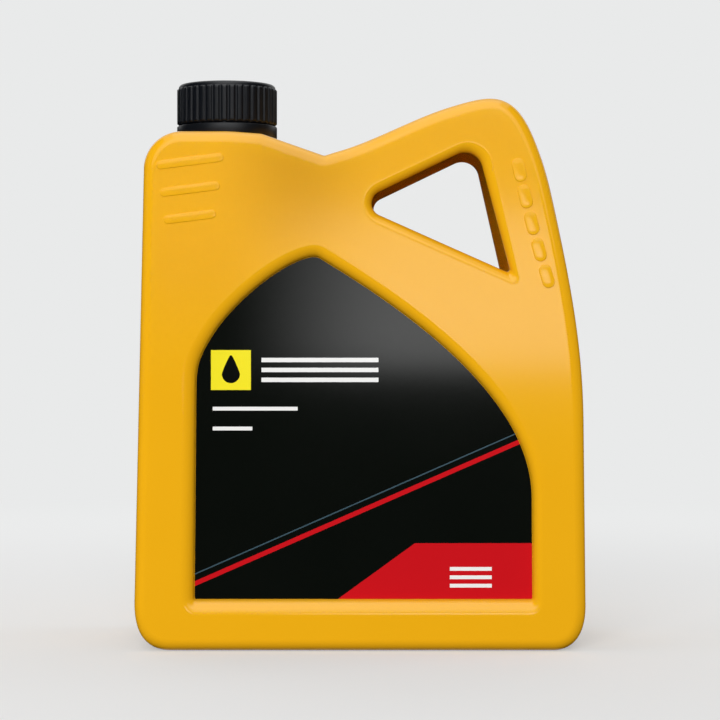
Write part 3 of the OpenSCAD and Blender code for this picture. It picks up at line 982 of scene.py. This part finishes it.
@dataclass
class Closure:
    """The ribbed screw cap, its liner, the tamper band and the foil seal."""

    axis_x: float
    rim: float
    radius: float = 23.6
    rib_depth: float = 0.75
    ribs: int = 40
    height: float = 19.1
    top: float = 1.6
    bevel: float = 1.7
    inner: float = 20.65
    foil: float = 0.15
    liner: float = 1.2
    band_height: float = 5.6
    bridge_count: int = 12

    @property
    def cap_z(self) -> float:
        """Height of the lower edge of the cap's skirt."""
        return self.rim + self.foil + self.liner + self.top - self.height

    def cap(self, material: bpy.types.Material) -> bpy.types.Object:
        """Makes the cap: its wall's radius is a wave of flat-topped ribs that fades at both ends.

        Around the axis the wave is a cosine lifted a little and clipped by a tanh, so that the ribs are flat
        and wider than the grooves. Up the skirt smoothstep scales it, so that the ribs end square below a
        smooth collar, and above that the profile turns over a round edge.

        Args:
            material: its plastic.

        Returns:
            The new object.
        """
        skin = Skin()
        steps = self.ribs * 18
        angle = np.linspace(0, 2 * np.pi, steps, endpoint=False)
        steep, wide = 2.4, 0.45
        wave = 0.5 + 0.5 * np.tanh(steep * (np.cos(self.ribs * angle) + wide)) / np.tanh(steep)
        low, high = self.cap_z, self.cap_z + self.height
        shoulder = high - self.bevel
        groove = self.radius - self.rib_depth
        quarter = np.linspace(0, np.pi / 2, 9)
        z = np.concatenate([
            [low, low + 0.12, low + 0.3, low + 0.5, low + 0.75, low + 1.1, low + 1.5],
            np.linspace(low + 2.5, shoulder - 1.6, 8),
            shoulder + np.array([-0.8, -0.6, -0.35]),
            shoulder + self.bevel * np.sin(quarter),
        ])
        base = np.concatenate([
            groove + np.array([-0.25, -0.08, 0, 0, 0, 0, 0]), np.full(8, groove), np.full(3, groove),
            groove - self.bevel + self.bevel * np.cos(quarter),
        ])
        fade = smooth((z - low - 0.25) / 0.6) * smooth((shoulder - 0.35 - z) / 0.4)
        radius = base[:, None] + self.rib_depth * fade[:, None] * wave[None]
        wall = np.stack([self.axis_x + radius * np.cos(angle), radius * np.sin(angle),
                         np.broadcast_to(z[:, None], radius.shape)], axis=-1)
        lid_r = np.array([groove - self.bevel - 0.4, 17.2, 16.9, 12.0, 6.0, 0.0])
        lid_z = np.array([0.0, 0.0, -0.12, -0.12, -0.12, -0.12]) + high
        lid = revolved(np.stack([lid_r, lid_z], axis=1), self.axis_x, steps)
        ceiling = high - self.top
        bore = np.array([
            [0.0, ceiling], [12.0, ceiling], [self.inner - 0.4, ceiling],
            [self.inner - 0.1, ceiling - 0.1], [self.inner, ceiling - 0.4],
            [self.inner, low - 0.3], [self.inner + 0.1, low - 0.45], [self.inner + 0.4, low - 0.45],
            [self.inner + 0.48, low - 0.3], [self.inner + 0.5, low],
        ])
        inside_wall = revolved(bore, self.axis_x, steps)
        skin.grid(np.concatenate([inside_wall, wall, lid]))
        for start in (0.0, np.pi):
            skin.grid(helix_ridge(self.axis_x, self.inner, rise=1.1, foot=1.7, crest=0.9, start_z=low + 1.15,
                                  start_angle=start, turn=Turn.INWARD))
        made = skin.mesh("cap_shell", [material])
        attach(made, "cap_body")
        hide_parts("screw_cap")
        return made

    def band(self, material: bpy.types.Material) -> bpy.types.Object:
        """Makes the tamper band: a revolved ring with its inner lip, and small bridges on its top edge.

        Args:
            material: its plastic.

        Returns:
            The new object.
        """
        low = self.cap_z - 0.6 - self.band_height
        outer, inner, lip = self.radius, 21.35, 19.55
        top = low + self.band_height
        hook = self.rim - BEAD_DROP - 0.15
        profile = np.array([
            [inner, low], [outer - 0.5, low], [outer - 0.15, low + 0.12], [outer, low + 0.45],
            [outer, top - 0.4], [outer - 0.12, top - 0.12], [outer - 0.4, top], [inner + 0.2, top],
            [inner, top - 0.2], [inner, hook], [lip + 0.1, hook], [lip, hook - 0.15],
            [lip, hook - 0.6], [lip + 0.2, hook - 0.8], [inner, hook - 1.7],
        ])
        skin = Skin()
        skin.grid(revolved(profile, self.axis_x, 240), wrap_rows=True)
        self.bridges(skin, inner + 0.4, outer - 0.5, top)
        made = skin.mesh("band_ring", [material])
        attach(made, "bottle_body")
        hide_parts("tamper_band")
        return made

    def bridges(self, skin: Skin, inner: float, outer: float, top: float) -> None:
        """Adds the bridges on the band's top edge: short blocks that narrow towards their broken tops.

        Each block is three rectangles, one over the other. A corner is the block's own direction times the
        inner or outer radius, plus or less the direction across it times half the width.

        Args:
            skin: collects the patches.
            inner: radius of their inner ends.
            outer: radius of their outer ends.
            top: height of the band's top edge.
        """
        angle = np.linspace(0, 2 * np.pi, self.bridge_count, endpoint=False)[:, None, None]
        level = top + np.array([-0.3, 0.1, 0.42])[None, :, None]
        half = np.array([0.8, 0.6, 0.4])[None, :, None]
        reach = np.array([inner, outer, outer, inner])
        across = half * np.array([-1, -1, 1, 1])
        x = self.axis_x + (np.cos(angle) * reach - np.sin(angle) * across)
        y = np.sin(angle) * reach + np.cos(angle) * across
        skin.soft = False
        for block in np.stack([x, y, np.broadcast_to(level, x.shape)], axis=-1):
            skin.grid(block)
            skin.add(block[0], np.array([[3, 2, 1, 0]]))
            skin.add(block[-1], np.array([[0, 1, 2, 3]]))

    def disc(self, name: str, node: str, body: str, radius: float, low: float, thickness: float,
             sink: float, material: bpy.types.Material) -> bpy.types.Object:
        """Makes a thin disc with a soft edge, whose top sinks by a cosine towards the middle.

        Args:
            name: name of the new object.
            node: the solid that it stands for.
            body: the body that it rides on.
            radius: its radius.
            low: height of its underside.
            thickness: its thickness.
            sink: how far the middle of its top sinks.
            material: its finish.

        Returns:
            The new object.
        """
        r = np.linspace(0.0, radius - 0.3, 14)
        dip = sink * (0.5 + 0.5 * np.cos(np.pi * r / (radius - 0.3)))
        under = np.stack([r, np.full(14, low)], axis=1)
        edge = np.array([[radius - 0.05, low], [radius, low + thickness * 0.3],
                         [radius, low + thickness * 0.7], [radius - 0.05, low + thickness]])
        over = np.stack([r[::-1], low + thickness - dip[::-1]], axis=1)
        skin = Skin()
        skin.grid(revolved(np.concatenate([under, edge, over]), self.axis_x, 120))
        made = skin.mesh(name, [material])
        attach(made, body)
        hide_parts(node)
        return made


@dataclass
class Label:
    """The printed film on the floor of the front panel, with its plain fields of colour."""

    shape: BodyShape
    film: float = 0.15
    gap: float = 0.2
    stripe: float = 2.3
    line: float = 0.6
    fields: list[tuple[Array, Ink]] = field(default_factory=list)

    def plan(self) -> None:
        """Lists the printed fields as polygons with their ink, the last one on top."""
        s = self.shape
        left, right, low = s.left + s.panel_left, s.right - s.panel_right, s.panel_bottom
        start, end = np.array([left - 6, low + 3.25]), np.array([right + 6, low + 75.6])
        up = np.array([0.0, 1.0])
        corner = np.array([[right - 95.5, low - 5], [right - 53.4, low + 25.5], [right + 5, low + 25.5],
                           [right + 5, low - 5]])
        self.fields = [
            (np.array([start, start + up * self.stripe, end + up * self.stripe, end]), Ink.RED),
            (np.array([start + up * 5.2, start + up * (5.2 + self.line), end + up * (5.2 + self.line),
                       end + up * 5.2]), Ink.BLUE),
            (corner, Ink.RED),
        ]
        square = np.array([left + 7.6, low + 94.9])
        self.fields.append((self.bar(square, 18.1, 18.1), Ink.YELLOW))
        self.fields.append((self.drop(square + [9.05, 7.2], 4.1, 8.6), Ink.BLACK))
        for row, height in ((12.6, 2.0), (8.1, 2.0), (3.6, 2.0)):
            self.fields.append((self.bar(square + [22.9, row], 53.0, height), Ink.WHITE))
        self.fields.append((self.bar(square + [0.8, -9.3], 38.5, 1.7), Ink.WHITE))
        self.fields.append((self.bar(square + [0.8, -18.3], 18.0, 1.7), Ink.WHITE))
        for rise in (13.0, 9.2, 5.4):
            self.fields.append((self.bar(np.array([right - 37.6, low + rise]), 19.0, 1.7), Ink.WHITE))

    @staticmethod
    def bar(corner: Array, width: float, height: float) -> Array:
        """Rectangle from its lower left corner.

        Args:
            corner: lower left corner.
            width: its width.
            height: its height.

        Returns:
            Its four corners, clockwise.
        """
        return corner + np.array([[0, 0], [0, height], [width, height], [width, 0]])

    @staticmethod
    def drop(centre: Array, radius: float, reach: float) -> Array:
        """Drop of oil: a circle whose upper half is drawn up to a point by a power of its height.

        Args:
            centre: middle of its round part.
            radius: radius of that part.
            reach: height of its point above the middle.

        Returns:
            Points of its outline, clockwise.
        """
        angle = np.linspace(-np.pi / 2, 3 * np.pi / 2, 72, endpoint=False)
        x, z = -np.cos(angle), np.sin(angle)
        up = np.maximum(z, 0)
        height = np.where(z > 0, reach * up**1.6, radius * z)
        return centre + np.stack([radius * x * (1 - up**2 * 0.45), height], axis=1)

    def crossed(self, loop: Array) -> Array:
        """Adds the points where the printed fields cross an outline, so that the film's edge has them too.

        Two sides a + s u and c + t v cross where both s and t, found by Cramer's rule, lie between 0 and 1.
        Each point's place is the number of its side plus s, and the points are put in that order.

        Args:
            loop: outline of the film.

        Returns:
            The outline with the added points.
        """
        starts = np.concatenate([polygon for polygon, _ in self.fields])
        sides = np.concatenate([np.roll(polygon, -1, axis=0) - polygon for polygon, _ in self.fields])
        along = np.roll(loop, -1, axis=0) - loop
        u, away = along[:, None], starts - loop[:, None]
        area = u[..., 0] * sides[:, 1] - u[..., 1] * sides[:, 0]
        area = np.where(np.abs(area) < 1e-9, np.inf, area)
        s = (away[..., 0] * sides[:, 1] - away[..., 1] * sides[:, 0]) / area
        t = (away[..., 0] * u[..., 1] - away[..., 1] * u[..., 0]) / area
        side, other = np.nonzero((s > 1e-6) & (s < 1 - 1e-6) & (t >= 0) & (t <= 1))
        place = np.sort(np.concatenate([np.arange(len(loop)), side + s[side, other]]))
        index = np.floor(place).astype(int)
        return loop[index] + (place - index)[:, None] * along[index]

    def ink(self, centres: Array) -> Array:
        """Finds the number of the ink at each place.

        Args:
            centres: places on the label, as x, z.

        Returns:
            The ink of the last field that holds each place, or the black ground.
        """
        found = np.full(len(centres), int(Ink.BLACK))
        for polygon, ink in self.fields:
            found[inside(centres, polygon)] = ink
        return found

    def build(self, materials: Sequence[bpy.types.Material]) -> bpy.types.Object:
        """Makes the film: a printed front, a back and a thin edge.

        Args:
            materials: the inks' materials in the order of their numbers.

        Returns:
            The new object.
        """
        self.plan()
        s = self.shape
        panel = s.panel()
        loop = self.crossed(panel - self.gap * normals(panel))
        back_y = -s.half + s.panel_depth
        front_y = back_y - self.film
        skin = Skin()
        skin.soft = False
        skin.grid(section_rows(loop, normals(loop), np.zeros(2), np.array([back_y, front_y])))
        skin.region(loop, [], back_y)
        self.front(skin, loop, front_y)
        made = skin.mesh("label_print", materials)
        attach(made, "bottle_body")
        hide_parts("front_label")
        return made

    def front(self, skin: Skin, loop: Array, y: float) -> None:
        """Adds the printed face: the film's outline and all fields cut each other into triangles.

        Args:
            skin: collects the patches.
            loop: outline of the film.
            y: depth of the face.
        """
        points, triangles, centre = triangulated([loop] + [polygon for polygon, _ in self.fields])
        inks = self.ink(centre)
        place = upright(points, y)
        for number in np.unique(inks):
            skin.add(place, triangles[inks == number], int(number))


@dataclass
class Studio:
    """Floor, lights, reflection cards and the camera."""

    pale: str = "#e9eaea"
    floor_near: str = "#f0f0f0"
    floor_mat: str = "#6e6f70"
    fill: float = 0.34
    camera_y: float = -1.0984
    eye: float = 0.1315
    focal_px: float = 2320.0
    frame_px: float = 720.0

    @staticmethod
    def looked_at(nodes: Nodes) -> bpy.types.NodeSocket:
        """Gives one for camera, glossy and transmission rays, which see the pale studio, and else zero.

        Args:
            nodes: nodes of the material or the world.

        Returns:
            The value's socket.
        """
        path = nodes.add("ShaderNodeLightPath")
        seen = nodes.add("ShaderNodeMath", {"operation": "MAXIMUM"}, i0=path.outputs["Is Camera Ray"],
                         i1=path.outputs["Is Glossy Ray"])
        return nodes.add("ShaderNodeMath", {"operation": "MAXIMUM"}, i0=seen.outputs["Value"],
                         i1=path.outputs["Is Transmission Ray"]).outputs["Value"]

    def world(self) -> None:
        """Pale surroundings for the camera and for reflections, and a dimmer even fill for the rest."""
        world = bpy.data.worlds.new("studio")
        world.use_nodes = True
        bpy.context.scene.world = world
        world.node_tree.nodes.clear()
        nodes = Nodes(world.node_tree)
        fill = nodes.add("ShaderNodeBackground", Color=linear("#ffffff"), Strength=self.fill)
        pale = nodes.add("ShaderNodeBackground", Color=linear(self.pale), Strength=1.0)
        mixed = nodes.add("ShaderNodeMixShader", i0=self.looked_at(nodes), i1=fill.outputs["Background"],
                          i2=pale.outputs["Background"])
        nodes.add("ShaderNodeOutputWorld", Surface=mixed.outputs["Shader"])

    def floor(self) -> None:
        """Pale floor that keeps the shadow near the bottle and fades to the surroundings' tone.

        Diffuse rays meet it as a darker mat, so that little light comes up from below.
        """
        angle = np.linspace(0, 2 * np.pi, 96, endpoint=False)
        radius = np.array([0.0, 300.0, 900.0, 3000.0, 12000.0, 40000.0])
        rows = np.stack([radius[:, None] * np.cos(angle), radius[:, None] * np.sin(angle),
                         np.zeros((len(radius), len(angle)))], axis=-1)
        material, nodes = blank_material("studio_floor")
        place = nodes.add("ShaderNodeTexCoord").outputs["Object"]
        away = nodes.add("ShaderNodeVectorMath", {"operation": "LENGTH"}, i0=place)
        share = nodes.add("ShaderNodeMapRange", {"interpolation_type": "SMOOTHSTEP"},
                          Value=away.outputs["Value"], From_Min=0.1, From_Max=1.1, To_Min=0.4, To_Max=1.0)
        near = nodes.add("ShaderNodeBsdfDiffuse", Color=linear(self.floor_near))
        far = nodes.add("ShaderNodeEmission", Color=linear(self.pale), Strength=1.0)
        mixed = nodes.add("ShaderNodeMixShader", i0=share.outputs["Result"], i1=near.outputs["BSDF"],
                          i2=far.outputs["Emission"])
        mat = nodes.add("ShaderNodeBsdfDiffuse", Color=linear(self.floor_mat))
        whole = nodes.add("ShaderNodeMixShader", i0=self.looked_at(nodes), i1=mat.outputs["BSDF"],
                          i2=mixed.outputs["Shader"])
        nodes.add("ShaderNodeOutputMaterial", Surface=whole.outputs["Shader"])
        skin = Skin()
        skin.grid(rows)
        skin.mesh("studio_floor", [material])

    @staticmethod
    def card(name: str, low: Sequence[float], high: Sequence[float], material: bpy.types.Material) -> None:
        """Adds a card square to the axes that only reflections see.

        The corner beside the first differs from it in the card's first direction, X or else Y, and the
        fourth is the sum of the two opposite ones less that corner.

        Args:
            name: name of the card.
            low: its lower left corner, in metres.
            high: its upper right corner.
            material: its surface.
        """
        across = 1 if low[0] == high[0] else 0
        beside = tuple(high[i] if i == across else low[i] for i in range(3))
        fourth = tuple(a + b - c for a, b, c in zip(low, high, beside))
        data = bpy.data.meshes.new(name)
        data.from_pydata([tuple(low), beside, tuple(high), fourth], [], [(0, 1, 2, 3)])
        layer = data.uv_layers.new(name="card")
        layer.data.foreach_set("uv", [0, 0, 1, 0, 1, 1, 0, 1])
        data.materials.append(material)
        made = bpy.data.objects.new(name, data)
        bpy.context.scene.collection.objects.link(made)
        made.visible_camera = False
        made.visible_diffuse = False
        made.visible_shadow = False
        made.visible_transmission = False

    @staticmethod
    def black() -> bpy.types.Material:
        """Black flock, which takes the reflections away."""
        material, nodes = blank_material("black_flock")
        dark = nodes.add("ShaderNodeEmission", Color=linear("#000000"), Strength=0.0)
        nodes.add("ShaderNodeOutputMaterial", Surface=dark.outputs[0])
        return material

    @staticmethod
    def glowing(name: str, strength: float, fades: Sequence[float], lean: float = 0.0) -> bpy.types.Material:
        """Lit cloth whose light fades by smoothstep towards each side and leans towards its lower side.

        Args:
            name: name of the material.
            strength: its brightness.
            fades: share of the width or height over which it fades: left, right, lower, upper side.
            lean: how much of the light is missing at the upper side.

        Returns:
            The material.
        """
        material, nodes = blank_material(name)
        place = nodes.add("ShaderNodeTexCoord").outputs["UV"]
        parts = nodes.add("ShaderNodeSeparateXYZ", Vector=place)
        light = nodes.add("ShaderNodeMapRange", Value=parts.outputs["Y"], From_Min=0.3, From_Max=1.0,
                          To_Min=strength, To_Max=strength * (1 - lean)).outputs["Result"]
        for axis, (low, high) in zip("XY", (fades[:2], fades[2:])):
            for ends in ((0.0, low), (1.0, 1.0 - high)):
                edge = nodes.add("ShaderNodeMapRange", {"interpolation_type": "SMOOTHSTEP"},
                                 Value=parts.outputs[axis], From_Min=ends[0], From_Max=ends[1])
                light = nodes.add("ShaderNodeMath", {"operation": "MULTIPLY"}, i0=light,
                                  i1=edge.outputs["Result"]).outputs["Value"]
        glow = nodes.add("ShaderNodeEmission", Color=linear("#ffffff"), Strength=light)
        clear = nodes.add("ShaderNodeBsdfTransparent")
        both = nodes.add("ShaderNodeAddShader", i0=glow.outputs[0], i1=clear.outputs[0])
        nodes.add("ShaderNodeOutputMaterial", Surface=both.outputs[0])
        return material

    def lamp(self, name: str, place: Sequence[float], target: Sequence[float], size: tuple[float, float],
             watts: float) -> None:
        """Adds a soft rectangular lamp that looks at a point and doesn't show in reflections.

        Args:
            name: name of the lamp.
            place: where it hangs, in metres.
            target: the point that it faces.
            size: its width and height.
            watts: its power.
        """
        data = bpy.data.lights.new(name, "AREA")
        data.shape = "RECTANGLE"
        data.size, data.size_y = size
        data.energy = watts
        made = bpy.data.objects.new(name, data)
        made.location = place
        made.rotation_euler = (Vector(target) - Vector(place)).to_track_quat("-Z", "Y").to_euler()
        made.visible_glossy = False
        made.visible_camera = False
        bpy.context.scene.collection.objects.link(made)

    def lights(self) -> None:
        """Five soft lamps, and the cards that only reflections see.

        The key hangs behind the camera and above it, and weaker lamps light the sides, the top and the back.
        Black flags take the room's reflection from the faces, a window gives the patch of gloss on the front,
        and two skies light the rounded upper edges.
        """
        self.lamp("key", (-0.3, -2.4, 0.7), (0, 0, 0.12), size=(1.4, 1.0), watts=51.5)
        self.lamp("side", (-1.6, -0.3, 0.5), (0, 0, 0.13), size=(0.8, 0.8), watts=5.4)
        self.lamp("top", (0.0, -0.3, 1.6), (0, 0, 0.2), size=(1.2, 0.9), watts=1.8)
        self.lamp("back", (-0.2, 1.5, 0.4), (0, 0, 0.17), size=(2.6, 0.7), watts=19.0)
        self.lamp("right", (1.6, 0.5, 0.5), (0, 0, 0.15), size=(0.9, 0.8), watts=7.0)
        front, back, reach = self.camera_y - 0.5, 1.0, 1.3
        near, sky, ceiling = front + 0.02, 0.8, 2.2
        flock = self.black()
        self.card("flag_front", (-reach, front, 0), (reach, front, 0.42), flock)
        self.card("flag_floor", (-reach, front, 0.001), (reach, back, 0.001), flock)
        self.card("flag_back", (-reach, back, 0), (reach, back, 0.45), flock)
        self.card("flag_left", (-reach, front, 0), (-reach, back, 2.1), flock)
        self.card("flag_right", (reach, front, 0), (reach, back, 2.1), flock)
        self.card("window", (-0.147, near, 0.1085), (0.34, near, 0.302),
                  self.glowing("window", strength=2.45, fades=(0.4, 0.01, 0.14, 0.05), lean=0.28))
        self.card("sky_front", (-sky, near, 0.5), (sky, near, ceiling),
                  self.glowing("sky_front", strength=1.0, fades=(0.1, 0.1, 0.3, 0.01)))
        self.card("sky_top", (-sky, near, ceiling), (sky, 0.9, ceiling),
                  self.glowing("sky_top", strength=1.0, fades=(0.1, 0.1, 0.01, 0.2)))

    def camera(self) -> None:
        """Camera at the photograph's viewpoint: level, at mid height, with a long lens.

        The lens is the focal length in pixels over the frame's width in pixels, times the sensor's width.
        """
        data = bpy.data.cameras.new("camera")
        data.sensor_width = 36.0
        data.lens = self.focal_px / self.frame_px * data.sensor_width
        data.clip_end = 100.0
        made = bpy.data.objects.new("camera", data)
        made.location = (0.0, self.camera_y, self.eye)
        made.rotation_euler = (np.pi / 2, 0.0, 0.0)
        bpy.context.scene.collection.objects.link(made)
        bpy.context.scene.camera = made

    def build(self) -> None:
        """Sets up the whole studio."""
        bpy.context.scene.view_settings.view_transform = "Standard"
        self.world()
        self.floor()
        self.lights()
        self.camera()


def main() -> None:
    """Builds the studio and the bottle's pieces in order, and reports each one."""
    logging.basicConfig(level=logging.INFO, format="%(name)s: %(message)s")
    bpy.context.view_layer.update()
    Studio().build()
    shape = BodyShape()
    bottle = Bottle(shape)
    cap_plastic = MOULDED_POLYPROPYLENE.material()
    closure = Closure(shape.neck_x, shape.shoulder + bottle.neck_height)
    foam, foil = LINER_FOAM.material(), Foil().material()
    inks = [ink_finish(ink).material() for ink in Ink]
    made = [
        bottle.build(BLOWN_POLYETHYLENE.material()),
        closure.cap(cap_plastic),
        closure.band(cap_plastic),
        closure.disc("liner_disc", "cap_liner", "liner_body", radius=19.35,
                     low=closure.rim + closure.foil, thickness=closure.liner, sink=0.0, material=foam),
        closure.disc("foil_disc", "foil_seal", "bottle_body", radius=18.8,
                     low=closure.rim, thickness=closure.foil, sink=0.1, material=foil),
        Label(shape).build(inks),
    ]
    for piece in made:
        log.info("%s: %d faces", piece.name, len(piece.data.polygons))


if __name__ == "__main__":
    main()
